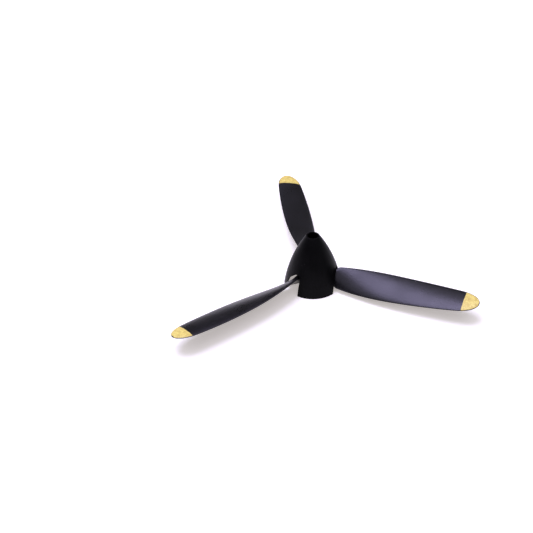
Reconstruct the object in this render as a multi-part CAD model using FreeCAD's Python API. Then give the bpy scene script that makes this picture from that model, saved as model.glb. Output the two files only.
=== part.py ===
"""Three-blade scale propeller with an ogive spinner, as an assembly of separate pieces.

Units are millimetres. +Z is the spin axis and points to the nose. The origin is on the
spin axis, in the plane of the spinner's rear rim. blade_1 lies along +X, and blade_2 and
blade_3 follow counter-clockwise as seen from the nose, which is also the way it turns.
"""
import FreeCAD, Part
import math
import os

from FreeCAD import Vector

# ---------------------------------------------------------------- driving dimensions
TIP_RADIUS = 65.0          # half of the propeller's diameter
HELIX_PITCH = 70.0         # advance in one turn
BLADE_COUNT = 3

SPINNER_RADIUS = 11.0      # outer radius at the rear rim
SPINNER_LENGTH = 22.0
NOSE_RADIUS = 2.5          # outer radius at the open nose
NOSE_BORE = 2.0            # radius of the nose hole
SHELL_WALL = 0.9

AXIS_Z = 4.6               # height of the blades' pitch axes, and of the hub's split
HUB_RADIUS = 4.9
HUB_REAR_Z = 1.2
HUB_FRONT_Z = 8.0
TOWER_RADIUS = 2.6
TOWER_Z = 11.0             # the spinner's seat rests here

SHANK_RADIUS = 1.9
SHANK_START = 2.2
SHANK_END = 6.4
COLLAR_RADIUS = 2.5
COLLAR_START = 2.9
COLLAR_END = 3.9

DISC_RADIUS = 5.3
SHAFT_RADIUS = 0.5
SHAFT_DEPTH = 5.3

FIT = 0.04                 # radial clearance of a blade shank in its socket
LOOSE = 0.02               # clearance of fixed inner pieces
SCREW_CLEAR = 0.1          # radial clearance of the nose screw in what it passes through
CLEAR_CUT = 1.0            # how far a cutter runs past the face it opens
OVERLAP = 0.5              # how far fused pieces run into each other

# ---------------------------------------------------------------- derived dimensions
BLADE_STEP = 360.0 / BLADE_COUNT
SAME = 1e-6                # two lengths closer than this are the same
UPRIGHT = 0.9              # a unit direction with more than this along Z stands upright
AXIS_DIR = Vector(0, 0, 1)
ORIGIN = Vector(0, 0, 0)


def cylinder(radius, z_low, z_high):
    return Part.makeCylinder(radius, z_high - z_low, Vector(0, 0, z_low), AXIS_DIR)


def turned(shape, angle):
    copy = shape.copy()
    copy.rotate(ORIGIN, AXIS_DIR, angle)
    return copy


def around(shape, first_angle=0.0):
    """The shape and its copies, one for each blade."""
    return [turned(shape, first_angle + BLADE_STEP * i) for i in range(BLADE_COUNT)]


def regular_prism(flat_radius, sides, z_low, z_high):
    corner_radius = flat_radius / math.cos(math.pi / sides)
    corners = []
    for i in range(sides + 1):
        angle = 2 * math.pi * (i % sides) / sides
        corners.append(Vector(corner_radius * math.cos(angle), corner_radius * math.sin(angle), z_low))
    return Part.Face(Part.makePolygon(corners)).extrude(Vector(0, 0, z_high - z_low))


def rounded_square(side, corner, z_low, z_high):
    block = Part.makeBox(side, side, z_high - z_low, Vector(-side / 2, -side / 2, z_low))
    upright = [edge for edge in block.Edges if abs(edge.tangentAt(edge.FirstParameter).z) > UPRIGHT]
    return block.makeFillet(corner, upright)


# ---------------------------------------------------------------- blades
ROOT_RADIUS = 12.0         # where the chord law starts
NECK_START = 6.0           # the shank blends into the blade from here
NECK_END = 10.5            # and is all blade from here
NECK_RADIUS = 1.65
WIDEST_RADIUS = 33.0
WIDEST_CHORD = 12.3
ROOT_CHORD = 8.9
TIP_START = 56.0           # the tip's round starts here
TIP_CHORD = 10.3
TIP_POWER = 3.0            # a higher power makes a blunter tip
TIP_LAST = 64.97           # the last section, just inside the tip
TIP_RISE = 2.7             # how far the tip leans forward of the pitch axis
STRAIGHT_RISE = 0.2        # the share of the rise that grows evenly; the rest is curved
ROOT_THICKNESS = 1.5
MID_THICKNESS = 1.1
TIP_THICKNESS = 0.7
CAMBER = 0.03
SECTION_POINTS = 24
NECK_SECTIONS = 4
BODY_SECTIONS = 8
TIP_SECTIONS = 7


def smooth_step(value):
    t = min(1.0, max(0.0, value))
    return t * t * (3 - 2 * t)


def chord(r):
    if r < WIDEST_RADIUS:
        share = (WIDEST_RADIUS - r) / (WIDEST_RADIUS - ROOT_RADIUS)
        return WIDEST_CHORD - (WIDEST_CHORD - ROOT_CHORD) * share ** 2
    share = (r - WIDEST_RADIUS) / (TIP_START - WIDEST_RADIUS)
    full = WIDEST_CHORD - (WIDEST_CHORD - TIP_CHORD) * share ** 2
    if r < TIP_START:
        return full
    along = (r - TIP_START) / (TIP_RADIUS - TIP_START)
    return full * math.sqrt(1 - along ** TIP_POWER)


def thickness(r):
    if r < WIDEST_RADIUS:
        share = (WIDEST_RADIUS - r) / (WIDEST_RADIUS - ROOT_RADIUS)
        return MID_THICKNESS + (ROOT_THICKNESS - MID_THICKNESS) * share ** 2
    share = (r - WIDEST_RADIUS) / (TIP_RADIUS - WIDEST_RADIUS)
    return MID_THICKNESS - (MID_THICKNESS - TIP_THICKNESS) * share


def rise(r):
    share = max(0.0, (r - NECK_END) / (TIP_RADIUS - NECK_END))
    return TIP_RISE * (STRAIGHT_RISE * share + (1 - STRAIGHT_RISE) * share ** 2)


def blade_section(r):
    """A closed smooth wire across the blade at radius r: a round neck inboard, a thin
    cambered section outboard. Its leading edge is on the +Y side and towards +Z."""
    blend = smooth_step((r - NECK_START) / (NECK_END - NECK_START))
    half_width = NECK_RADIUS + (chord(r) / 2 - NECK_RADIUS) * blend
    half_height = NECK_RADIUS + (thickness(r) / 2 - NECK_RADIUS) * blend
    helix = math.atan(HELIX_PITCH / (2 * math.pi * r))
    points = []
    for i in range(SECTION_POINTS):
        angle = 2 * math.pi * i / SECTION_POINTS
        along = half_width * math.cos(angle)
        arch = 2 * half_width * CAMBER * blend * math.sin(angle) ** 2
        out = half_height * math.sin(angle) + arch
        y = along * math.cos(helix) - out * math.sin(helix)
        z = along * math.sin(helix) + out * math.cos(helix)
        points.append(Vector(r, y, AXIS_Z + rise(r) + z))
    curve = Part.BSplineCurve()
    curve.interpolate(points, PeriodicFlag=True)
    return Part.Wire(curve.toShape())


def blade_stations():
    """The radii of the sections, which crowd together towards the tip."""
    neck = [NECK_START + (NECK_END - NECK_START) * i / NECK_SECTIONS for i in range(NECK_SECTIONS + 1)]
    body = [ROOT_RADIUS + (TIP_START - ROOT_RADIUS) * i / BODY_SECTIONS for i in range(BODY_SECTIONS)]
    tip = []
    for i in range(TIP_SECTIONS):
        quarter_turn = 0.5 * math.pi * i / (TIP_SECTIONS - 1)
        tip.append(TIP_START + (TIP_LAST - TIP_START) * math.sin(quarter_turn))
    return neck + body + tip


def make_blade():
    blade = Part.makeLoft([blade_section(r) for r in blade_stations()], True, False)
    root = Vector(SHANK_START, 0, AXIS_Z)
    shank = Part.makeCylinder(SHANK_RADIUS, SHANK_END - SHANK_START, root, Vector(1, 0, 0))
    collar_at = Vector(COLLAR_START, 0, AXIS_Z)
    collar = Part.makeCylinder(COLLAR_RADIUS, COLLAR_END - COLLAR_START, collar_at, Vector(1, 0, 0))
    return blade.fuse(shank).fuse(collar)


# ---------------------------------------------------------------- hub
END_GAP = 0.1              # between the ends of shanks, collars and spigot and their pockets
HUB_REAR_EDGE = 0.3
HUB_FRONT_EDGE = 0.4
SPIGOT_SIDE = 2.5
SPIGOT_CORNER = 0.4
SPIGOT_TOP = 6.0
SCREW_CIRCLE = 3.75
SCREW_RADIUS = 0.6
SCREW_TIP_Z = 2.0
HEAD_RADIUS = 0.95
HEAD_HEIGHT = 0.8
HEX_SIDES = 6
HEX_FLAT = 1.9             # half the tower's hexagon key across its flats
HEX_HEIGHT = 0.8
KEY_TOP = TOWER_Z + HEX_HEIGHT
INSERT_RADIUS = 1.4
INSERT_BASE = 7.6
NOSE_SCREW_RADIUS = 0.9


def socket(r_start, r_end, radius):
    return Part.makeCylinder(radius, r_end - r_start, Vector(r_start, 0, AXIS_Z), Vector(1, 0, 0))


def hub_sockets():
    bore = socket(SHANK_START - END_GAP, HUB_RADIUS + CLEAR_CUT, SHANK_RADIUS + FIT)
    groove = socket(COLLAR_START - END_GAP, COLLAR_END + END_GAP, COLLAR_RADIUS + FIT)
    return around(bore) + around(groove)


def hub_screw_holes(radius, z_low, z_high):
    hole = cylinder(radius, z_low, z_high)
    hole.translate(Vector(SCREW_CIRCLE, 0, 0))
    return around(hole, BLADE_STEP / 2)


def softened(shape, size, z_level, radius):
    """The shape with its circular edge at one height and radius rounded."""
    rims = []
    for edge in shape.Edges:
        curve = edge.Curve
        if isinstance(curve, Part.Circle) and abs(curve.Radius - radius) < SAME:
            if abs(curve.Center.z - z_level) < SAME and abs(curve.Axis.z) > UPRIGHT:
                rims.append(edge)
    return shape.makeFillet(size, rims)


def make_hub_rear():
    body = softened(cylinder(HUB_RADIUS, HUB_REAR_Z, AXIS_Z), HUB_REAR_EDGE, HUB_REAR_Z, HUB_RADIUS)
    key_way = rounded_square(SPIGOT_SIDE + 2 * LOOSE, SPIGOT_CORNER,
                             HUB_REAR_Z - CLEAR_CUT, AXIS_Z + CLEAR_CUT)
    holes = hub_screw_holes(SCREW_RADIUS + LOOSE, SCREW_TIP_Z, AXIS_Z + CLEAR_CUT)
    return body.cut([key_way] + holes + hub_sockets())


def make_hub_front():
    body = softened(cylinder(HUB_RADIUS, AXIS_Z, HUB_FRONT_Z), HUB_FRONT_EDGE, HUB_FRONT_Z, HUB_RADIUS)
    tower = cylinder(TOWER_RADIUS, HUB_FRONT_Z - OVERLAP, TOWER_Z)
    key = regular_prism(HEX_FLAT, HEX_SIDES, TOWER_Z - OVERLAP, KEY_TOP)
    body = body.fuse([tower, key])
    key_way = rounded_square(SPIGOT_SIDE + 2 * LOOSE, SPIGOT_CORNER,
                             AXIS_Z - CLEAR_CUT, SPIGOT_TOP + END_GAP)
    holes = hub_screw_holes(SCREW_RADIUS + LOOSE, AXIS_Z - CLEAR_CUT, HUB_FRONT_Z + CLEAR_CUT)
    insert_hole = cylinder(INSERT_RADIUS + LOOSE, INSERT_BASE, KEY_TOP + CLEAR_CUT)
    screw_way = cylinder(NOSE_SCREW_RADIUS + SCREW_CLEAR, SPIGOT_TOP, INSERT_BASE + CLEAR_CUT)
    return body.cut([key_way, insert_hole, screw_way] + holes + hub_sockets())


# shares of a screw head's radius or height, and of a shank's radius at its point
RECESS_LENGTH = 1.1
RECESS_WIDTH = 0.28
RECESS_DEPTH = 0.55
HEAD_ROUND = 0.6
POINT_RADIUS = 0.4


def cross_recess(head_radius, z_top, depth):
    """The cross slot of a screw head."""
    arm = head_radius * RECESS_LENGTH
    width = head_radius * RECESS_WIDTH
    bar = Part.makeBox(arm, width, depth, Vector(-arm / 2, -width / 2, z_top - depth))
    cross_bar = bar.copy()
    cross_bar.rotate(ORIGIN, AXIS_DIR, 90)
    return bar.fuse(cross_bar)


def screw(shank_radius, head_radius, head_height, z_tip, z_seat):
    """A pan-head screw on the Z axis, with its head on z_seat."""
    z_top = z_seat + head_height
    head = cylinder(head_radius, z_seat, z_top)
    head = softened(head, head_height * HEAD_ROUND, z_top, head_radius)
    shank = cylinder(shank_radius, z_tip + shank_radius, z_seat + head_height / 2)
    tip = Vector(0, 0, z_tip)
    point = Part.makeCone(shank_radius * POINT_RADIUS, shank_radius, shank_radius, tip, AXIS_DIR)
    body = head.fuse([shank, point])
    return body.cut(cross_recess(head_radius, z_top, head_height * RECESS_DEPTH))


def make_hub_screws():
    one = screw(SCREW_RADIUS, HEAD_RADIUS, HEAD_HEIGHT, SCREW_TIP_Z + LOOSE, HUB_FRONT_Z)
    one.translate(Vector(SCREW_CIRCLE, 0, 0))
    return around(one, BLADE_STEP / 2)


def make_insert():
    body = cylinder(INSERT_RADIUS, INSERT_BASE, KEY_TOP)
    return body.cut(cylinder(NOSE_SCREW_RADIUS + LOOSE, INSERT_BASE - CLEAR_CUT, KEY_TOP + CLEAR_CUT))


# ---------------------------------------------------------------- drive disc
DISC_EDGE = 0.25
RIM_THICKNESS = 0.9
STEP_RADIUS = 4.6          # the disc is thicker inside this radius, where the hub bears
RIM_GROOVE_OUT = 4.6
RIM_GROOVE_IN = 4.0
RIM_GROOVE_DEPTH = 0.2
BOSS_SIDE = 3.5            # the square boss that the pockets leave in the middle
POCKET_OUT = 3.3
POCKET_HALF_ANGLE = 36.0
POCKET_CORNER = 0.3
POCKET_TURN = 141.0        # direction of the first deep pocket
DEEP_POCKET = 0.85
SHALLOW_POCKET = 0.3


def boss_pocket(depth):
    """A pocket in the rear face, centred on +X, between the boss and an outer arc."""
    tall = depth + CLEAR_CUT
    block = cylinder(POCKET_OUT, -CLEAR_CUT, depth)
    boss_corner = Vector(BOSS_SIDE / 2, -POCKET_OUT, -CLEAR_CUT)
    beside = Part.makeBox(POCKET_OUT, POCKET_OUT * 2, tall, boss_corner)
    half = math.radians(POCKET_HALF_ANGLE)
    reach = POCKET_OUT * 2
    centre = Vector(0, 0, -CLEAR_CUT)
    low_side = Vector(reach * math.cos(half), -reach * math.sin(half), -CLEAR_CUT)
    high_side = Vector(reach * math.cos(half), reach * math.sin(half), -CLEAR_CUT)
    wedge = Part.Face(Part.makePolygon([centre, low_side, high_side, centre])).extrude(Vector(0, 0, tall))
    pocket = block.common(beside).common(wedge)
    upright = [edge for edge in pocket.Edges if edge.BoundBox.ZLength > tall / 2]
    return pocket.makeFillet(POCKET_CORNER, upright)


def make_drive_disc():
    flange = softened(cylinder(DISC_RADIUS, 0, RIM_THICKNESS), DISC_EDGE, 0, DISC_RADIUS)
    step = cylinder(STEP_RADIUS, RIM_THICKNESS - DISC_EDGE, HUB_REAR_Z)
    spigot = rounded_square(SPIGOT_SIDE, SPIGOT_CORNER, HUB_REAR_Z - OVERLAP, SPIGOT_TOP)
    body = flange.fuse([step, spigot])
    groove = cylinder(RIM_GROOVE_OUT, -CLEAR_CUT, RIM_GROOVE_DEPTH).cut(
        cylinder(RIM_GROOVE_IN, -CLEAR_CUT, RIM_GROOVE_DEPTH))
    pockets = []
    for i, depth in enumerate([DEEP_POCKET, SHALLOW_POCKET] * 2):
        pockets.append(turned(boss_pocket(depth), POCKET_TURN + 90.0 * i))
    shaft_bore = cylinder(SHAFT_RADIUS, -CLEAR_CUT, SHAFT_DEPTH)
    return body.cut([groove, shaft_bore] + pockets)


# ---------------------------------------------------------------- spinner
SEAT_Z = 12.8              # the washer and the screw's head bear here
TUBE_WALL = 0.9
INNER_TOP = 20.0           # the hollow's top, inside the nose
WASHER_RADIUS = 1.8
NOSE_FLOOR = 14.7          # the nose hole's floor; the screw's pocket goes on below it
MID_RADIUS = 8.1           # outer radius half-way along the spinner
SLOT_TOP = 8.3
SLOT_LEAD_TOP = 3.0        # the leading side's distance from the blade's axis, at the top
SLOT_LEAD_RIM = 3.35       # and at the rear rim
SLOT_PEAK = 0.9            # where the top edge starts to fall towards the trailing side
SLOT_KNEE = (-2.55, 5.2)   # across and height of the bend in the trailing side
SLOT_FLARE = 0.42          # the trailing side's slope below the knee
SLOT_CORNER = 1.4


def ogive_face(wall, z_low, z_high):
    """Half of the spinner's section, its skin moved inwards by wall, and half that at the nose."""
    rear = Vector(SPINNER_RADIUS - wall, 0, z_low)
    middle = Vector(MID_RADIUS - wall, 0, SPINNER_LENGTH / 2)
    nose = Vector(NOSE_RADIUS - wall / 2, 0, z_high)
    skin = Part.Arc(rear, middle, nose).toShape()
    top = Part.makePolygon([nose, Vector(0, 0, z_high), Vector(0, 0, z_low), rear])
    return Part.Face(Part.Wire([skin] + top.Edges))


def full_turn(face):
    return face.revolve(ORIGIN, AXIS_DIR, 360)


def slot_cutter():
    """The blade's opening: nearly upright on the leading side, slanted on the trailing
    side, open at the rear rim, with rounded upper corners."""
    near = TOWER_RADIUS + CLEAR_CUT
    far = SPINNER_RADIUS + CLEAR_CUT
    below = -CLEAR_CUT
    knee_across, knee_z = SLOT_KNEE
    rim_across = knee_across - SLOT_FLARE * (knee_z - below)
    lead_across = SLOT_LEAD_RIM - (SLOT_LEAD_RIM - SLOT_LEAD_TOP) * below / SLOT_TOP
    corners = [
        Vector(near, rim_across, below),
        Vector(near, lead_across, below),
        Vector(near, SLOT_LEAD_TOP, SLOT_TOP),
        Vector(near, SLOT_PEAK, SLOT_TOP),
        Vector(near, knee_across, knee_z),
    ]
    face = Part.Face(Part.makePolygon(corners + [corners[0]]))
    block = face.extrude(Vector(far - near, 0, 0))
    upper = []
    for edge in block.Edges:
        if edge.BoundBox.XLength > (far - near) / 2 and edge.BoundBox.ZMin > AXIS_Z:
            upper.append(edge)
    return block.makeFillet(SLOT_CORNER, upper)


def make_spinner_shell():
    outer = full_turn(ogive_face(0.0, 0.0, SPINNER_LENGTH))
    inner = full_turn(ogive_face(SHELL_WALL, -LOOSE, INNER_TOP))
    shell = outer.cut(inner)
    tube = cylinder(NOSE_BORE + TUBE_WALL, TOWER_Z, SPINNER_LENGTH).common(outer)
    shell = shell.fuse(tube)
    nose_hole = cylinder(NOSE_BORE, NOSE_FLOOR, SPINNER_LENGTH + CLEAR_CUT)
    head_pocket = cylinder(WASHER_RADIUS + LOOSE, SEAT_Z, NOSE_FLOOR + CLEAR_CUT)
    screw_hole = cylinder(NOSE_SCREW_RADIUS + SCREW_CLEAR, TOWER_Z - CLEAR_CUT, SEAT_Z + CLEAR_CUT)
    key_hole = regular_prism(HEX_FLAT + LOOSE, HEX_SIDES, TOWER_Z - CLEAR_CUT, KEY_TOP + LOOSE)
    return shell.cut([nose_hole, head_pocket, screw_hole, key_hole] + around(slot_cutter()))


# ---------------------------------------------------------------- nose screw
NOSE_HEAD_RADIUS = 1.7
NOSE_HEAD_HEIGHT = 1.3
NOSE_SCREW_TIP = 7.0
WASHER_THICKNESS = 0.3


def make_washer():
    body = cylinder(WASHER_RADIUS, SEAT_Z, SEAT_Z + WASHER_THICKNESS)
    return body.cut(cylinder(NOSE_SCREW_RADIUS + SCREW_CLEAR, SEAT_Z - CLEAR_CUT, SEAT_Z + CLEAR_CUT))


def make_nose_screw():
    return screw(NOSE_SCREW_RADIUS, NOSE_HEAD_RADIUS, NOSE_HEAD_HEIGHT,
                 NOSE_SCREW_TIP, SEAT_Z + WASHER_THICKNESS)


# ---------------------------------------------------------------- write the pieces
def save(name, shape):
    solids = shape.Solids
    whole = solids[0] if len(solids) == 1 else Part.makeCompound(solids)
    whole.exportStep("parts/" + name + ".step")
    print(name, "solids", len(solids), "valid", whole.isValid(), "volume", round(whole.Volume, 2))


def main():
    os.makedirs("parts", exist_ok=True)
    blade = make_blade()
    for i in range(BLADE_COUNT):
        save("blade_%d" % (i + 1), turned(blade, BLADE_STEP * i))
    save("hub_rear", make_hub_rear())
    save("hub_front", make_hub_front())
    for i, one in enumerate(make_hub_screws()):
        save("hub_screw_%d" % (i + 1), one)
    save("threaded_insert", make_insert())
    save("drive_disc", make_drive_disc())
    save("spinner_shell", make_spinner_shell())
    save("nose_washer", make_washer())
    save("nose_screw", make_nose_screw())


main()
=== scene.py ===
"""Looks of the three-blade scale propeller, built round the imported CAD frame.

Lengths in the shape sections are in millimetres, as in the CAD model, and become metres when
a mesh is made. +Z is the spin axis towards the nose, and blade_1 lies along +X.
"""

import math

import bpy
from mathutils import Matrix, Vector


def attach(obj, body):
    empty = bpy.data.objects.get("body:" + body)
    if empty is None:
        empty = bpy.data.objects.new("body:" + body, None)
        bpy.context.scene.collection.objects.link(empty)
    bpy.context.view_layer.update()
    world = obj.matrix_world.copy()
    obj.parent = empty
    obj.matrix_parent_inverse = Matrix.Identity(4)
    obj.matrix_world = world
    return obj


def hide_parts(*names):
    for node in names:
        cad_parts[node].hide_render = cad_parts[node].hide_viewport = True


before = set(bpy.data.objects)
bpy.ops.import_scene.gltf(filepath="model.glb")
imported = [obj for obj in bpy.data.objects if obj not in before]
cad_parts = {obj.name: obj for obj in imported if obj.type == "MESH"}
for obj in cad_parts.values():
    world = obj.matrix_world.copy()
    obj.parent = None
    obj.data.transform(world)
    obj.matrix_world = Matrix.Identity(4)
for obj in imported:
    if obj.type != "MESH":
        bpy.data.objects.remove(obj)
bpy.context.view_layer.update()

MM = 0.001
TURN = 2 * math.pi
BLADES = 3
BLADE_STEP = TURN / BLADES

# ------------------------------------------------------------------ sizes shared with the CAD
TIP_RADIUS = 65.0
HELIX_PITCH = 70.0
AXIS_Z = 4.6
SHANK_RADIUS = 1.9
SHANK_START = 2.2
SHANK_END = 6.4
COLLAR_RADIUS = 2.5
COLLAR_START = 2.9
COLLAR_END = 3.9
ROOT_RADIUS = 12.0
NECK_START = 6.0
NECK_END = 10.5
NECK_RADIUS = 1.65
WIDEST_RADIUS = 33.0
WIDEST_CHORD = 12.3
ROOT_CHORD = 8.9
TIP_START = 56.0
TIP_CHORD = 10.3
TIP_POWER = 3.0
TIP_RISE = 2.7
STRAIGHT_RISE = 0.2
ROOT_THICKNESS = 1.5
MID_THICKNESS = 1.1
TIP_THICKNESS = 0.7
CAMBER = 0.03

SPINNER_RADIUS = 11.0
SPINNER_LENGTH = 22.0
MID_RADIUS = 8.1
NOSE_RADIUS = 2.5
NOSE_BORE = 2.0
NOSE_FLOOR = 14.7
SHELL_WALL = 0.9
TUBE_RADIUS = 2.9
TOWER_Z = 11.0
SEAT_Z = 12.8
HEAD_POCKET = 1.82
SEAT_HOLE = 1.0
KEY_TOP = 11.82
KEY_CORNER = 2.22
SLOT_TOP = 8.3
SLOT_LEAD_TOP = 3.0
SLOT_LEAD_RIM = 3.35
SLOT_PEAK = 0.9
SLOT_KNEE = (-2.55, 5.2)
SLOT_FLARE = 0.42
SLOT_CORNER = 1.4

DISC_RADIUS = 5.3
RIM_THICKNESS = 0.9
STEP_RADIUS = 4.6
DISC_FRONT_Z = 1.2
SHAFT_RADIUS = 0.5
SHAFT_DEPTH = 5.3
SPIGOT_HALF = 1.25
SPIGOT_TOP = 6.0

GOLD_START = 59.1
GOLD_EDGE = 0.26           # the bare margin between the gold and the blade's edges
UNPAINTED = -1.0


# ------------------------------------------------------------------ helpers for shapes
def smooth_step(value):
    t = min(1.0, max(0.0, value))
    return t * t * (3 - 2 * t)


def mix(a, b, share):
    return a + (b - a) * share


def rotate_z(point, angle):
    x, y, z = point
    c, s = math.cos(angle), math.sin(angle)
    return (x * c - y * s, x * s + y * c, z)


def make_object(name, points, faces, sharp_angle=35.0):
    """A smooth-shaded mesh object from points in millimetres."""
    mesh = bpy.data.meshes.new(name)
    mesh.from_pydata([(x * MM, y * MM, z * MM) for x, y, z in points], [], faces)
    mesh.validate()
    mesh.shade_smooth()
    mesh.set_sharp_from_angle(angle=math.radians(sharp_angle))
    obj = bpy.data.objects.new(name, mesh)
    bpy.context.scene.collection.objects.link(obj)
    return obj


def strip(first, second, closed):
    """Quads between two rows of vertex numbers."""
    count = len(first)
    last = count if closed else count - 1
    quads = []
    for i in range(last):
        j = (i + 1) % count
        quads.append((first[i], first[j], second[j], second[i]))
    return quads


def store_float(obj, name, values):
    layer = obj.data.attributes.new(name, "FLOAT", "POINT")
    layer.data.foreach_set("value", values)


# ------------------------------------------------------------------ blades
AROUND = 56                # points round a section
NECK_RINGS = 14
BODY_RINGS = 60
TIP_RINGS = 30
SHANK_CHAMFER = 0.15
BLADE_CREASE = 40.0        # degrees: edges sharper than this stay sharp
PAINT_DEEP = 1.0           # the stored paint distance goes no higher than this


def chord(r):
    if r < WIDEST_RADIUS:
        share = (WIDEST_RADIUS - r) / (WIDEST_RADIUS - ROOT_RADIUS)
        return WIDEST_CHORD - (WIDEST_CHORD - ROOT_CHORD) * share ** 2
    share = (r - WIDEST_RADIUS) / (TIP_START - WIDEST_RADIUS)
    full = WIDEST_CHORD - (WIDEST_CHORD - TIP_CHORD) * share ** 2
    if r < TIP_START:
        return full
    along = (r - TIP_START) / (TIP_RADIUS - TIP_START)
    return full * math.sqrt(max(0.0, 1 - along ** TIP_POWER))


def thickness(r):
    if r < WIDEST_RADIUS:
        share = (WIDEST_RADIUS - r) / (WIDEST_RADIUS - ROOT_RADIUS)
        return MID_THICKNESS + (ROOT_THICKNESS - MID_THICKNESS) * share ** 2
    share = (r - WIDEST_RADIUS) / (TIP_RADIUS - WIDEST_RADIUS)
    full = mix(MID_THICKNESS, TIP_THICKNESS, share)
    edge = (r - (TIP_RADIUS - TIP_THICKNESS)) / TIP_THICKNESS
    return full * math.sqrt(max(0.0, 1 - max(0.0, edge) ** 2))


def rise(r):
    share = max(0.0, (r - NECK_END) / (TIP_RADIUS - NECK_END))
    return TIP_RISE * (STRAIGHT_RISE * share + (1 - STRAIGHT_RISE) * share ** 2)


def half_sizes(r):
    blend = smooth_step((r - NECK_START) / (NECK_END - NECK_START))
    half_width = mix(NECK_RADIUS, chord(r) / 2, blend)
    half_height = mix(NECK_RADIUS, thickness(r) / 2, blend)
    return blend, half_width, half_height


def blade_ring(r):
    """The section at radius r, from the leading edge over the front face and back."""
    blend, half_width, half_height = half_sizes(r)
    helix = math.atan(HELIX_PITCH / (TURN * r))
    ring = []
    for i in range(AROUND):
        angle = TURN * i / AROUND
        along = half_width * math.cos(angle)
        arch = 2 * half_width * CAMBER * blend * math.sin(angle) ** 2
        out = half_height * math.sin(angle) + arch
        y = along * math.cos(helix) - out * math.sin(helix)
        z = along * math.sin(helix) + out * math.cos(helix)
        ring.append((r, y, AXIS_Z + rise(r) + z))
    return ring


def round_ring(r, radius):
    ring = []
    for i in range(AROUND):
        angle = TURN * i / AROUND + math.atan(HELIX_PITCH / (TURN * NECK_START))
        ring.append((r, radius * math.cos(angle), AXIS_Z + radius * math.sin(angle)))
    return ring


def shank_rings():
    """The turned part that sits in the hub, with chamfered ends and the collar."""
    chamfer = SHANK_CHAMFER
    outline = [
        (SHANK_START, SHANK_RADIUS - chamfer), (SHANK_START + chamfer, SHANK_RADIUS),
        (COLLAR_START, SHANK_RADIUS), (COLLAR_START, COLLAR_RADIUS - chamfer),
        (COLLAR_START + chamfer, COLLAR_RADIUS), (COLLAR_END - chamfer, COLLAR_RADIUS),
        (COLLAR_END, COLLAR_RADIUS - chamfer), (COLLAR_END, SHANK_RADIUS),
        (SHANK_END - chamfer, SHANK_RADIUS), (SHANK_END, SHANK_RADIUS - chamfer),
    ]
    return [round_ring(r, radius) for r, radius in outline]


def blade_radii():
    """Radii of the sections: closer at the neck and at the tip."""
    neck = [SHANK_END + (NECK_END - SHANK_END) * i / NECK_RINGS for i in range(NECK_RINGS)]
    body = [NECK_END + (TIP_START - NECK_END) * i / BODY_RINGS for i in range(BODY_RINGS)]
    tip = []
    for i in range(TIP_RINGS):
        quarter_turn = 0.5 * math.pi * i / TIP_RINGS
        tip.append(TIP_START + (TIP_RADIUS - TIP_START) * math.sin(quarter_turn))
    return neck + body + tip


def paint_distance(r, i):
    """How far a front-face point is inside the gold band, in millimetres."""
    angle = TURN * i / AROUND
    half_width = half_sizes(r)[1]
    from_edge = half_width * (1 - abs(math.cos(angle)))
    if math.sin(angle) <= 0:
        return UNPAINTED
    return min(r - GOLD_START, from_edge - GOLD_EDGE, TIP_RADIUS - r - GOLD_EDGE, PAINT_DEEP)


def make_blade(number):
    angle = BLADE_STEP * (number - 1)
    radii = blade_radii()
    rings = shank_rings() + [blade_ring(r) for r in radii]
    shank_count = len(rings) - len(radii)
    points = []
    for ring in rings:
        points.extend(rotate_z(p, angle) for p in ring)
    faces = []
    for k in range(len(rings) - 1):
        first = [k * AROUND + i for i in range(AROUND)]
        second = [(k + 1) * AROUND + i for i in range(AROUND)]
        faces.extend(strip(first, second, True))
    start = len(points)
    points.append(rotate_z((SHANK_START, 0, AXIS_Z), angle))
    points.append(rotate_z((TIP_RADIUS, 0, AXIS_Z + TIP_RISE), angle))
    last = (len(rings) - 1) * AROUND
    for i in range(AROUND):
        j = (i + 1) % AROUND
        faces.append((start, j, i))
        faces.append((start + 1, last + i, last + j))
    blade = make_object("blade_%d_moulding" % number, points, faces, BLADE_CREASE)
    paint = [UNPAINTED] * (shank_count * AROUND)
    for r in radii:
        paint += [paint_distance(r, i) for i in range(AROUND)]
    store_float(blade, "paint", paint + [UNPAINTED, UNPAINTED])
    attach(blade, "blade_%d" % number)
    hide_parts("blade_%d" % number)
    return blade


# ------------------------------------------------------------------ spinner
PETAL_ROWS = 40
PETAL_COLUMNS = 36
SKIN_ROWS = 44
SLOT_SPLIT = 0.63          # where a slot's top is split into two sides, past its peak
SLOT_SIDE_SHARE = 0.4      # the share of a petal whose rows bend to follow a slot's side
INNER_TOP = 20.0           # the hollow's top, inside the nose
SKIN_STOP = 0.2            # the outer skin stops this far below the nose rim's round
NOSE_LIP = 0.18
NOSE_HOLE_HEIGHTS = (21.0, 19.0, 17.0, 15.5, NOSE_FLOOR)
POCKET_MIDDLE = 13.8
TUBE_EDGE = 0.15
TUBE_ROWS = 5
INNER_ROWS = 14
SPINNER_CREASE = 35.0
SPINNER_BEVEL = 0.12
BEVEL_FROM = 50            # degrees: edges sharper than this are rounded


def arc_through(a, b, c):
    """Centre and radius of the circle through three (radius, z) points."""
    (x1, y1), (x2, y2), (x3, y3) = a, b, c
    d = 2 * (x1 * (y2 - y3) + x2 * (y3 - y1) + x3 * (y1 - y2))
    s1, s2, s3 = x1 * x1 + y1 * y1, x2 * x2 + y2 * y2, x3 * x3 + y3 * y3
    cx = (s1 * (y2 - y3) + s2 * (y3 - y1) + s3 * (y1 - y2)) / d
    cy = (s1 * (x3 - x2) + s2 * (x1 - x3) + s3 * (x2 - x1)) / d
    return cx, cy, math.hypot(x1 - cx, y1 - cy)


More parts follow.
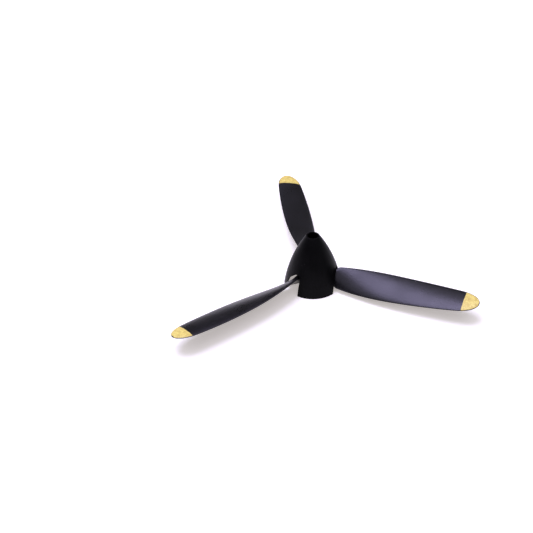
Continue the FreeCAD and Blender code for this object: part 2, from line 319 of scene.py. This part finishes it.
OUTER_ARC = arc_through((SPINNER_RADIUS, 0), (MID_RADIUS, SPINNER_LENGTH / 2), (NOSE_RADIUS, SPINNER_LENGTH))
INNER_ARC = arc_through((SPINNER_RADIUS - SHELL_WALL, 0), (MID_RADIUS - SHELL_WALL, SPINNER_LENGTH / 2),
                        (NOSE_RADIUS - SHELL_WALL / 2, INNER_TOP))


def arc_radius(arc, z):
    cx, cy, radius = arc
    return cx + math.sqrt(radius ** 2 - (z - cy) ** 2)


def rounded_path(corners, radii, steps=8):
    """The corners joined by straight runs, each inner corner rounded to its radius."""
    path = [Vector(corners[0])]
    for i in range(1, len(corners) - 1):
        here = Vector(corners[i])
        back = (Vector(corners[i - 1]) - here).normalized()
        on = (Vector(corners[i + 1]) - here).normalized()
        half = back.angle(on) / 2
        reach = radii[i - 1] / math.tan(half)
        centre = here + (back + on).normalized() * (radii[i - 1] / math.sin(half))
        start = here + back * reach - centre
        end = here + on * reach - centre
        for k in range(steps + 1):
            direction = start.lerp(end, k / steps).normalized()
            path.append(centre + direction * radii[i - 1])
    path.append(Vector(corners[-1]))
    return path


def resample(path, count):
    lengths = [0.0]
    for a, b in zip(path, path[1:]):
        lengths.append(lengths[-1] + (b - a).length)
    result = []
    k = 0
    for i in range(count + 1):
        target = lengths[-1] * i / count
        while k < len(lengths) - 2 and lengths[k + 1] < target:
            k += 1
        share = (target - lengths[k]) / (lengths[k + 1] - lengths[k])
        result.append(path[k].lerp(path[k + 1], min(1.0, share)))
    return result


def slot_sides():
    """The slot's outline as (across, height), split at its top into two sides."""
    knee_across, knee_z = SLOT_KNEE
    top = (SLOT_PEAK + SLOT_SPLIT, SLOT_TOP)
    lead = rounded_path([(SLOT_LEAD_RIM, 0), (SLOT_LEAD_TOP, SLOT_TOP), top], [SLOT_CORNER])
    trail = rounded_path([(knee_across - SLOT_FLARE * knee_z, 0), (knee_across, knee_z),
                          (SLOT_PEAK, SLOT_TOP), top], [SLOT_CORNER, SLOT_CORNER])
    return resample(lead, PETAL_ROWS), resample(trail, PETAL_ROWS)


def petal_point(arc, lead, trail, row, column):
    """A point of the skin between one slot's leading side and the next one's trailing side."""
    u = column / PETAL_COLUMNS
    even_z = SLOT_TOP * row / PETAL_ROWS
    near_lead = smooth_step(1 - u / SLOT_SIDE_SHARE) ** 2
    near_trail = smooth_step(1 - (1 - u) / SLOT_SIDE_SHARE) ** 2
    z = even_z + (lead[row].y - even_z) * near_lead + (trail[row].y - even_z) * near_trail
    start = math.asin(lead[row].x / arc_radius(arc, lead[row].y))
    end = BLADE_STEP + math.asin(trail[row].x / arc_radius(arc, trail[row].y))
    angle = mix(start, end, u)
    radius = arc_radius(arc, z)
    return (radius * math.cos(angle), radius * math.sin(angle), z)


def lip(radius_out, radius_in, z_top, steps=6):
    """A rounded rim at z_top, between two radii."""
    curve = min(NOSE_LIP, (radius_out - radius_in) / 2)
    points = []
    for k in range(steps + 1):
        angle = 0.5 * math.pi * k / steps
        points.append((radius_out - curve * (1 - math.cos(angle)), z_top - curve * (1 - math.sin(angle))))
    for k in range(steps + 1):
        angle = 0.5 * math.pi * (1 - k / steps)
        points.append((radius_in + curve * (1 - math.cos(angle)), z_top - curve * (1 - math.sin(angle))))
    return points


def inner_join_z():
    """Height where the inner skin meets the nose tube."""
    low, high = SLOT_TOP, INNER_TOP
    for _ in range(40):
        middle = (low + high) / 2
        if arc_radius(INNER_ARC, middle) > TUBE_RADIUS:
            low = middle
        else:
            high = middle
    return low


def spinner_profile():
    """(radius, z) from the top of the slots, over the nose, through the tube, and back inside."""
    profile = []
    skin_top = SPINNER_LENGTH - SKIN_STOP
    for i in range(SKIN_ROWS + 1):
        z = mix(SLOT_TOP, skin_top, i / SKIN_ROWS)
        profile.append((arc_radius(OUTER_ARC, z), z))
    profile += lip(NOSE_RADIUS, NOSE_BORE, SPINNER_LENGTH)
    profile += [(NOSE_BORE, z) for z in NOSE_HOLE_HEIGHTS]
    profile += [(HEAD_POCKET, NOSE_FLOOR), (HEAD_POCKET, POCKET_MIDDLE), (HEAD_POCKET, SEAT_Z)]
    profile += [(SEAT_HOLE, SEAT_Z), (SEAT_HOLE, KEY_TOP), (KEY_CORNER, KEY_TOP), (KEY_CORNER, TOWER_Z)]
    tube_start = TOWER_Z + TUBE_EDGE
    profile += [(TUBE_RADIUS - TUBE_EDGE, TOWER_Z), (TUBE_RADIUS, tube_start)]
    join = inner_join_z()
    for i in range(1, TUBE_ROWS):
        profile.append((TUBE_RADIUS, mix(tube_start, join, i / TUBE_ROWS)))
    for i in range(INNER_ROWS + 1):
        z = mix(join, SLOT_TOP, i / INNER_ROWS)
        profile.append((arc_radius(INNER_ARC, z), z))
    return profile


def make_spinner():
    lead, trail = slot_sides()
    profile = spinner_profile()
    ring_size = BLADES * PETAL_COLUMNS
    points = []
    outer, inner = [], []
    for arc, rows in ((OUTER_ARC, outer), (INNER_ARC, inner)):
        for petal in range(BLADES):
            for row in range(PETAL_ROWS):
                numbers = []
                for column in range(PETAL_COLUMNS + 1):
                    numbers.append(len(points))
                    points.append(rotate_z(petal_point(arc, lead, trail, row, column), BLADE_STEP * petal))
                rows.append(numbers)
    top_across = lead[-1].x
    outer_start = math.asin(top_across / arc_radius(OUTER_ARC, SLOT_TOP))
    inner_start = math.asin(top_across / arc_radius(INNER_ARC, SLOT_TOP))
    rings = []
    for k, (radius, z) in enumerate(profile):
        start = mix(outer_start, inner_start, k / (len(profile) - 1))
        numbers = []
        for column in range(ring_size):
            angle = start + TURN * column / ring_size
            numbers.append(len(points))
            points.append((radius * math.cos(angle), radius * math.sin(angle), z))
        rings.append(numbers)
    faces = []
    for a, b in zip(rings, rings[1:]):
        faces += strip(a, b, True)
    for petal in range(BLADES):
        tops = []
        for ring in (rings[0], rings[-1]):
            first = petal * PETAL_COLUMNS
            tops.append([ring[(first + c) % ring_size] for c in range(PETAL_COLUMNS + 1)])
        out_rows = outer[petal * PETAL_ROWS:(petal + 1) * PETAL_ROWS] + [tops[0]]
        in_rows = inner[petal * PETAL_ROWS:(petal + 1) * PETAL_ROWS] + [tops[1]]
        for a, b in zip(out_rows, out_rows[1:]):
            faces += strip(a, b, False)
        for a, b in zip(in_rows, in_rows[1:]):
            faces += strip(b, a, False)
        faces += strip(in_rows[0], out_rows[0], False)
        for side in (0, -1):
            out_side = [row[side] for row in out_rows]
            in_side = [row[side] for row in in_rows]
            faces += strip(out_side, in_side, False) if side == 0 else strip(in_side, out_side, False)
    spinner = make_object("spinner_moulding", points, faces, SPINNER_CREASE)
    bevel = spinner.modifiers.new("rounded_edges", "BEVEL")
    bevel.width = SPINNER_BEVEL * MM
    bevel.segments = 2
    bevel.limit_method = "ANGLE"
    bevel.angle_limit = math.radians(BEVEL_FROM)
    bevel.harden_normals = True
    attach(spinner, "hub")
    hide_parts("spinner_shell")
    return spinner


# ------------------------------------------------------------------ drive disc
DISC_RINGS = 110
DISC_AROUND = 192
GROOVE = (4.0, 4.6, 0.2)
BOSS_HALF = 1.75
POCKET_OUT = 3.3
POCKET_HALF_ANGLE = math.radians(36)
POCKET_TURN = math.radians(141)
POCKET_DEPTHS = (0.85, 0.3)
SOFT_EDGE = 0.16
DISC_EDGE = 0.25
DISC_FRONT_EDGE = 0.1
BORE_EDGE = 0.12
BORE_EDGE_DEPTH = 0.15
SPIGOT_CORNER = 0.4        # 0 would make it square and 1 round
SPIGOT_ROOT = 0.1
SPIGOT_EDGE = 0.15
DISC_CREASE = 50.0


def inside(value, low, high):
    """1 inside an interval, 0 outside it, with soft ends."""
    return smooth_step((value - low) / SOFT_EDGE + 0.5) * smooth_step((high - value) / SOFT_EDGE + 0.5)


def disc_depth(radius, angle):
    """How deep the disc's rear face is moulded in at a place."""
    depth = GROOVE[2] * inside(radius, GROOVE[0], GROOVE[1])
    turned = angle - POCKET_TURN
    quarter = math.floor(turned / (math.pi / 2) + 0.5)
    off_centre = turned - quarter * math.pi / 2
    arc = abs(off_centre) * radius
    reach = POCKET_HALF_ANGLE * radius
    share = inside(radius * math.cos(off_centre), BOSS_HALF, DISC_RADIUS)
    share *= inside(radius, 0.0, POCKET_OUT) * smooth_step((reach - arc) / (SOFT_EDGE * 2) + 0.5)
    depth += POCKET_DEPTHS[int(quarter) % 2] * share
    over = max(0.0, radius - (DISC_RADIUS - DISC_EDGE)) / DISC_EDGE
    return depth + DISC_EDGE * (1 - math.sqrt(max(0.0, 1 - over * over)))


def square_ring(half, z):
    """A rounded square as seen from the same angles as the disc's rings."""
    ring = []
    for i in range(DISC_AROUND):
        angle = TURN * i / DISC_AROUND
        c, s = abs(math.cos(angle)), abs(math.sin(angle))
        power = 2 + 6 * (1 - SPIGOT_CORNER)
        radius = half / (c ** power + s ** power) ** (1 / power)
        ring.append((radius * math.cos(angle), radius * math.sin(angle), z))
    return ring


def plain_ring(radius, z):
    return [(radius * math.cos(TURN * i / DISC_AROUND), radius * math.sin(TURN * i / DISC_AROUND), z)
            for i in range(DISC_AROUND)]


def make_disc():
    rings = [plain_ring(SHAFT_RADIUS, SHAFT_DEPTH), plain_ring(SHAFT_RADIUS, BORE_EDGE_DEPTH)]
    for k in range(DISC_RINGS + 1):
        radius = mix(SHAFT_RADIUS + BORE_EDGE, DISC_RADIUS, k / DISC_RINGS)
        ring = []
        for i in range(DISC_AROUND):
            angle = TURN * i / DISC_AROUND
            ring.append((radius * math.cos(angle), radius * math.sin(angle), disc_depth(radius, angle)))
        rings.append(ring)
    rings.append(plain_ring(DISC_RADIUS, RIM_THICKNESS - DISC_FRONT_EDGE))
    rings.append(plain_ring(DISC_RADIUS - DISC_FRONT_EDGE, RIM_THICKNESS))
    rings.append(plain_ring(STEP_RADIUS, RIM_THICKNESS))
    rings.append(plain_ring(STEP_RADIUS, DISC_FRONT_Z))
    rings.append(square_ring(SPIGOT_HALF + SPIGOT_ROOT, DISC_FRONT_Z))
    rings.append(square_ring(SPIGOT_HALF, DISC_FRONT_Z + SPIGOT_ROOT))
    rings.append(square_ring(SPIGOT_HALF, SPIGOT_TOP - SPIGOT_EDGE))
    rings.append(square_ring(SPIGOT_HALF - SPIGOT_EDGE, SPIGOT_TOP))
    points = [p for ring in rings for p in ring]
    faces = []
    for k in range(len(rings) - 1):
        first = [k * DISC_AROUND + i for i in range(DISC_AROUND)]
        second = [(k + 1) * DISC_AROUND + i for i in range(DISC_AROUND)]
        faces += strip(first, second, True)
    start = len(points)
    points += [(0, 0, SHAFT_DEPTH), (0, 0, SPIGOT_TOP)]
    last = (len(rings) - 1) * DISC_AROUND
    for i in range(DISC_AROUND):
        j = (i + 1) % DISC_AROUND
        faces.append((start, j, i))
        faces.append((start + 1, last + i, last + j))
    disc = make_object("drive_disc_moulding", points, faces, DISC_CREASE)
    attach(disc, "hub")
    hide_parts("drive_disc")
    return disc


# ------------------------------------------------------------------ materials
class Nodes:
    """A short way to build one material's node tree."""

    def __init__(self, name):
        self.material = bpy.data.materials.new(name)
        self.material.use_nodes = True
        self.tree = self.material.node_tree
        self.shader = self.tree.nodes["Principled BSDF"]
        self.place = self.add("ShaderNodeTexCoord").outputs["Object"]

    def add(self, kind, **settings):
        node = self.tree.nodes.new(kind)
        for key, value in settings.items():
            setattr(node, key, value)
        return node

    def link(self, source, target):
        self.tree.links.new(source, target)

    def set(self, **sockets):
        for key, value in sockets.items():
            self.shader.inputs[key.replace("_", " ")].default_value = value

    def stretch(self, scale):
        node = self.add("ShaderNodeMapping")
        node.inputs["Scale"].default_value = scale
        self.link(self.place, node.inputs["Vector"])
        return node.outputs["Vector"]

    def noise(self, scale, detail=3.0, roughness=0.5, vector=None):
        node = self.add("ShaderNodeTexNoise")
        node.inputs["Scale"].default_value = scale
        node.inputs["Detail"].default_value = detail
        node.inputs["Roughness"].default_value = roughness
        self.link(vector or self.place, node.inputs["Vector"])
        return node.outputs["Fac"]

    def spread(self, value, low_in, high_in, low_out, high_out):
        node = self.add("ShaderNodeMapRange", clamp=True)
        for key, number in zip(("From Min", "From Max", "To Min", "To Max"),
                               (low_in, high_in, low_out, high_out)):
            node.inputs[key].default_value = number
        self.link(value, node.inputs["Value"])
        return node.outputs["Result"]

    def calc(self, operation, a, b):
        node = self.add("ShaderNodeMath", operation=operation)
        for socket, value in zip(node.inputs, (a, b)):
            if isinstance(value, (int, float)):
                socket.default_value = value
            else:
                self.link(value, socket)
        return node.outputs["Value"]

    def blend(self, share, first, second):
        node = self.add("ShaderNodeMix", data_type="RGBA")
        self.link(share, node.inputs["Factor"])
        for socket, value in ((node.inputs["A"], first), (node.inputs["B"], second)):
            if isinstance(value, tuple):
                socket.default_value = value
            else:
                self.link(value, socket)
        return node.outputs["Result"]

    def attribute(self, name):
        return self.add("ShaderNodeAttribute", attribute_name=name).outputs["Fac"]

    def bump(self, height, strength, distance, under=None):
        node = self.add("ShaderNodeBump")
        node.inputs["Strength"].default_value = strength
        node.inputs["Distance"].default_value = distance
        self.link(height, node.inputs["Height"])
        if under:
            self.link(under, node.inputs["Normal"])
        return node.outputs["Normal"]


def colour(red, green, blue):
    return (red, green, blue, 1.0)


# noise scales are in features per metre, bump distances in metres
CLOUD_RANGE = (0.35, 0.65)
ROUGH_RANGE = (0.3, 0.7)
RUBBED = colour(0.05, 0.05, 0.055)
GRAIN_HEIGHT = 0.00004
FINE_HEIGHT = 0.00003


def black_plastic(name, dark, light, rough_low, rough_high, grain, gloss):
    """Moulded satin black: cloudy gloss, fine grain and a few rubbed specks."""
    n = Nodes(name)
    cloud = n.noise(140, 4.0)
    fine = n.noise(grain, 2.0, 0.6)
    specks = n.noise(grain * 0.45, 1.0)
    tone = n.spread(cloud, *CLOUD_RANGE, 0.0, 1.0)
    base = n.blend(tone, dark, light)
    rubbed = n.spread(specks, 0.74, 0.82, 0.0, 0.4)
    n.link(n.blend(rubbed, base, RUBBED), n.shader.inputs["Base Color"])
    n.link(n.spread(cloud, *ROUGH_RANGE, rough_low, rough_high), n.shader.inputs["Roughness"])
    n.link(n.bump(fine, 0.25, GRAIN_HEIGHT), n.shader.inputs["Normal"])
    n.set(Specular_IOR_Level=gloss)
    return n


def spinner_material():
    n = black_plastic("spinner_black", colour(0.0026, 0.0026, 0.003), colour(0.0045, 0.0045, 0.005),
                      0.38, 0.50, 2600, 0.05)
    return n.material


def hub_material():
    n = black_plastic("hub_black", colour(0.006, 0.006, 0.007), colour(0.010, 0.010, 0.011),
                      0.50, 0.62, 3200, 0.2)
    return n.material


BLADE_BLACKS = (colour(0.0025, 0.0025, 0.003), colour(0.0045, 0.0045, 0.0055))
BLADE_DUST = colour(0.022, 0.021, 0.030)
GOLDS = (colour(0.72, 0.54, 0.12), colour(1.0, 0.85, 0.25))
BLADE_GLOSS = 0.46
BLADE_TINT = colour(0.875, 0.85, 1.0)
GOLD_WANDER = 0.07         # how far, in millimetres, the paint's edge strays


def blade_material():
    """Satin black with a spray speckle and soft dimples, and a brushed gold front tip."""
    n = Nodes("blade_black_gold")
    cloud = n.noise(90, 4.0)
    speckle = n.noise(1900, 2.0, 0.65)
    fine = n.noise(3400, 2.0, 0.6)
    tone = n.spread(cloud, *CLOUD_RANGE, 0.0, 1.0)
    black = n.blend(tone, *BLADE_BLACKS)
    dusty = n.spread(speckle, 0.58, 0.75, 0.0, 0.5)
    black = n.blend(dusty, black, BLADE_DUST)
    dimples = n.noise(1400, 2.0, 0.55)
    ragged = n.noise(900, 3.0, 0.6)
    wander = n.spread(ragged, 0.3, 0.7, -GOLD_WANDER, GOLD_WANDER)
    inside_gold = n.calc("ADD", n.attribute("paint"), wander)
    gold_share = n.spread(inside_gold, -0.03, 0.05, 0.0, 1.0)
    flake = n.noise(2400, 3.0, 0.7)
    brushed = n.calc("MULTIPLY", n.calc("ADD", flake, n.noise(850, 2.0, 0.6)), 0.5)
    gold = n.blend(n.spread(brushed, 0.38, 0.62, 0.0, 1.0), *GOLDS)
    n.link(n.blend(gold_share, black, gold), n.shader.inputs["Base Color"])
    rough_black = n.spread(n.calc("ADD", cloud, speckle), 0.7, 1.3, 0.26, 0.39)
    rough_gold = n.spread(flake, *ROUGH_RANGE, 0.38, 0.55)
    rough = n.add("ShaderNodeMix", data_type="FLOAT")
    n.link(gold_share, rough.inputs["Factor"])
    n.link(rough_black, rough.inputs["A"])
    n.link(rough_gold, rough.inputs["B"])
    n.link(rough.outputs["Result"], n.shader.inputs["Roughness"])
    coat_step = n.bump(gold_share, 0.5, FINE_HEIGHT)
    dimpled = n.bump(dimples, 0.9, FINE_HEIGHT, coat_step)
    n.link(n.bump(fine, 0.3, GRAIN_HEIGHT, dimpled), n.shader.inputs["Normal"])
    n.set(Specular_IOR_Level=BLADE_GLOSS, Specular_Tint=BLADE_TINT)
    return n.material


NYLON = (colour(0.86, 0.87, 0.84), colour(0.92, 0.93, 0.90))


def disc_material():
    n = Nodes("disc_white_nylon")
    cloud = n.noise(260, 3.0)
    fine = n.noise(2800, 2.0)
    tone = n.spread(cloud, 0.3, 0.7, 0.0, 1.0)
    n.link(n.blend(tone, *NYLON), n.shader.inputs["Base Color"])
    n.link(n.spread(cloud, *ROUGH_RANGE, 0.30, 0.42), n.shader.inputs["Roughness"])
    n.link(n.bump(fine, 0.15, FINE_HEIGHT), n.shader.inputs["Normal"])
    n.set(Subsurface_Weight=0.05, Subsurface_Scale=0.0008)
    return n.material


def metal_material(name, first, second, rough_low, rough_high):
    """Plated or turned metal with fine rings round the axis."""
    n = Nodes(name)
    stain = n.noise(700, 4.0)
    rings = n.noise(1800, 2.0, 0.5, n.stretch((0.15, 0.15, 6.0)))
    n.link(n.blend(n.spread(stain, *CLOUD_RANGE, 0.0, 1.0), first, second), n.shader.inputs["Base Color"])
    n.link(n.spread(rings, *ROUGH_RANGE, rough_low, rough_high), n.shader.inputs["Roughness"])
    n.link(n.bump(rings, 0.2, FINE_HEIGHT), n.shader.inputs["Normal"])
    n.set(Metallic=1.0)
    return n.material


FLOOR_WHITES = (colour(0.90, 0.895, 0.89), colour(0.92, 0.915, 0.91))


def floor_material():
    n = Nodes("floor_white")
    cloud = n.noise(6, 3.0)
    n.link(n.blend(n.spread(cloud, 0.3, 0.7, 0.0, 1.0), *FLOOR_WHITES), n.shader.inputs["Base Color"])
    n.set(Roughness=0.9, Specular_IOR_Level=0.1, Emission_Strength=0.43)
    n.set(Emission_Color=colour(1.0, 0.93, 0.90))
    return n.material


def dress(obj, material):
    obj.data.materials.clear()
    obj.data.materials.append(material)


# ------------------------------------------------------------------ floor, lights and camera
FLOOR_HALF = 8.0


def make_floor():
    mesh = bpy.data.meshes.new("floor")
    corners = [(-FLOOR_HALF, -FLOOR_HALF, 0), (FLOOR_HALF, -FLOOR_HALF, 0),
               (FLOOR_HALF, FLOOR_HALF, 0), (-FLOOR_HALF, FLOOR_HALF, 0)]
    mesh.from_pydata(corners, [], [(0, 1, 2, 3)])
    floor = bpy.data.objects.new("floor", mesh)
    bpy.context.scene.collection.objects.link(floor)
    dress(floor, floor_material())


CAMERA_PLACE = Vector((0.1178, -0.3181, 0.2670))
CAMERA_AIM = Vector((-0.02043, 0.00253, 0.0))
CAMERA_ROLL = math.radians(-1.78)
CAMERA_LENS = 75.06
SENSOR_WIDTH = 36.0
CAMERA_CLIP = (0.01, 20.0)


def make_camera():
    data = bpy.data.cameras.new("camera")
    data.lens = CAMERA_LENS
    data.sensor_width = SENSOR_WIDTH
    data.clip_start, data.clip_end = CAMERA_CLIP
    camera = bpy.data.objects.new("camera", data)
    bpy.context.scene.collection.objects.link(camera)
    back = (CAMERA_PLACE - CAMERA_AIM).normalized()
    level_right = Vector((0, 0, 1)).cross(back).normalized()
    level_up = back.cross(level_right)
    right = level_right * math.cos(CAMERA_ROLL) + level_up * math.sin(CAMERA_ROLL)
    up = back.cross(right)
    axes = Matrix((right, up, back)).transposed().to_4x4()
    camera.matrix_world = Matrix.Translation(CAMERA_PLACE) @ axes
    bpy.context.scene.camera = camera


def area_light(name, place, aim, size, power, tint):
    data = bpy.data.lights.new(name, "AREA")
    data.shape = "RECTANGLE"
    data.size, data.size_y = size
    data.energy = power
    data.color = tint
    light = bpy.data.objects.new(name, data)
    light.location = place
    light.rotation_euler = (Vector(place) - Vector(aim)).to_track_quat("Z", "Y").to_euler()
    bpy.context.scene.collection.objects.link(light)
    return light


def make_world():
    world = bpy.data.worlds.new("studio")
    world.use_nodes = True
    background = world.node_tree.nodes["Background"]
    background.inputs["Color"].default_value = (1.0, 0.95, 0.96, 1.0)
    background.inputs["Strength"].default_value = 0.045
    bpy.context.scene.world = world
    bpy.context.scene.view_settings.view_transform = "Standard"


def make_lights():
    area_light("overhead", (-0.54, 0.20, 1.90), (0, 0, 0), (1.2, 1.2), 31.0, (0.76, 0.715, 1.0))
    area_light("overhead_wide", (-0.20, -0.15, 2.10), (0, 0, 0), (4.6, 4.2), 52.0, (0.94, 0.90, 1.0))
    area_light("back_panel", (-0.1, 1.6, 0.6), (0, 0, 0), (1.8, 0.7), 0.5, (1.0, 0.98, 0.98))


# ------------------------------------------------------------------ build
make_camera()
make_world()
make_lights()
make_floor()

blade_look = blade_material()
for number in range(1, BLADES + 1):
    dress(make_blade(number), blade_look)
dress(make_spinner(), spinner_material())
dress(make_disc(), disc_material())

hub_look = hub_material()
for node in ("hub_rear", "hub_front"):
    dress(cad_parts[node], hub_look)
steel_look = metal_material("zinc_steel", colour(0.40, 0.40, 0.41), colour(0.52, 0.51, 0.50), 0.28, 0.45)
for node in ("hub_screw_1", "hub_screw_2", "hub_screw_3", "nose_screw", "nose_washer"):
    dress(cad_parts[node], steel_look)
brass_look = metal_material("turned_brass", colour(0.55, 0.38, 0.15), colour(0.66, 0.50, 0.22), 0.25, 0.4)
dress(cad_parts["threaded_insert"], brass_look)
